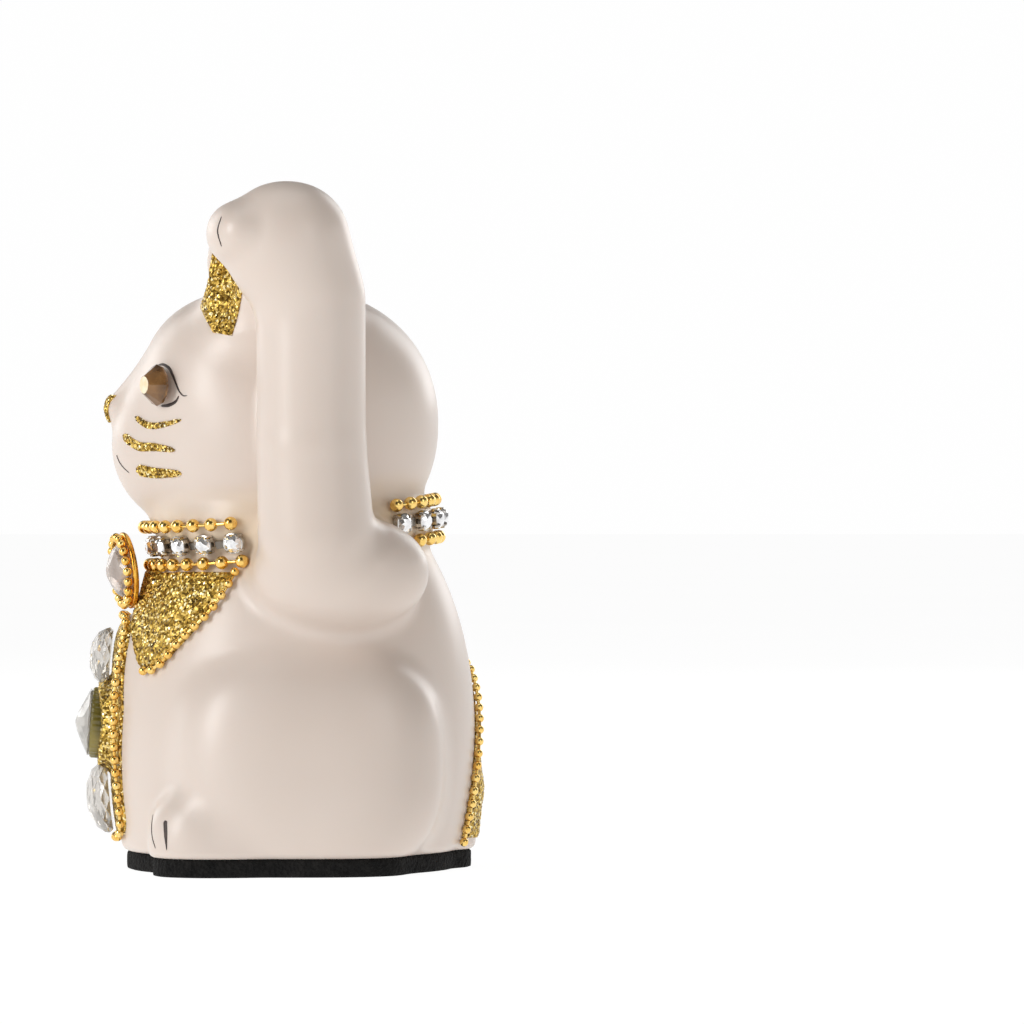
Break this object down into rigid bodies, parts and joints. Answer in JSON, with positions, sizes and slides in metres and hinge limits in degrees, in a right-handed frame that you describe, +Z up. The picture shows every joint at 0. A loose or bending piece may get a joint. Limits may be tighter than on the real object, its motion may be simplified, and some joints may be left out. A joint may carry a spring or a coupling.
{
  "type": "beckoning cat figurine",
  "caption": "Seated ceramic beckoning cat with a raised paw, a bead and rhinestone collar, a pendant, glitter patches and clear stones, on a thin foam pad",
  "frame": {"origin": "middle of the underside of the foam pad, on the surface that the figurine stands on", "axes": "+Z up; the cat faces -Y; its raised left arm is on +X"},
  "size_m": [0.08, 0.073, 0.1202],
  "materials": {
    "ceramic": "satin",
    "foam": "matte",
    "gold_chain": "polished",
    "silver_setting": "polished",
    "clear_stone": "polished",
    "topaz_stone": "polished",
    "gold_glitter": "glitter",
    "gold_casting": "polished"
  },
  "bodies": {
    "root": {"base_pad": "foam", "belly_border_beads": "gold_chain", "belly_border_links": "gold_chain", "belly_glitter_panel": "gold_glitter", "belly_lower_crystal": "clear_stone", "belly_middle_base": "gold_glitter", "belly_middle_crystal": "clear_stone", "belly_upper_crystal": "clear_stone", "ceramic_shell": "ceramic", "collar_cup_links": "silver_setting", "collar_lower_beads": "gold_chain", "collar_lower_links": "gold_chain", "collar_rhinestones": "clear_stone", "collar_stone_cups": "silver_setting", "collar_upper_beads": "gold_chain", "collar_upper_links": "gold_chain", "left_bandana_beads": "gold_chain", "left_bandana_glitter": "gold_glitter", "left_bandana_links": "gold_chain", "left_ear_glitter": "gold_glitter", "left_eye_crystal": "topaz_stone", "left_lower_whisker": "gold_glitter", "left_middle_whisker": "gold_glitter", "left_upper_whisker": "gold_glitter", "nose_glitter": "gold_glitter", "pendant_backing": "gold_casting", "pendant_crystal": "clear_stone", "pendant_rim_beads": "gold_chain", "right_bandana_beads": "gold_chain", "right_bandana_glitter": "gold_glitter", "right_bandana_links": "gold_chain", "right_ear_glitter": "gold_glitter", "right_eye_crystal": "topaz_stone", "right_lower_whisker": "gold_glitter", "right_middle_whisker": "gold_glitter", "right_upper_whisker": "gold_glitter", "tail_border_beads": "gold_chain", "tail_border_links": "gold_chain", "tail_glitter": "gold_glitter"}
  },
  "joints": []
}
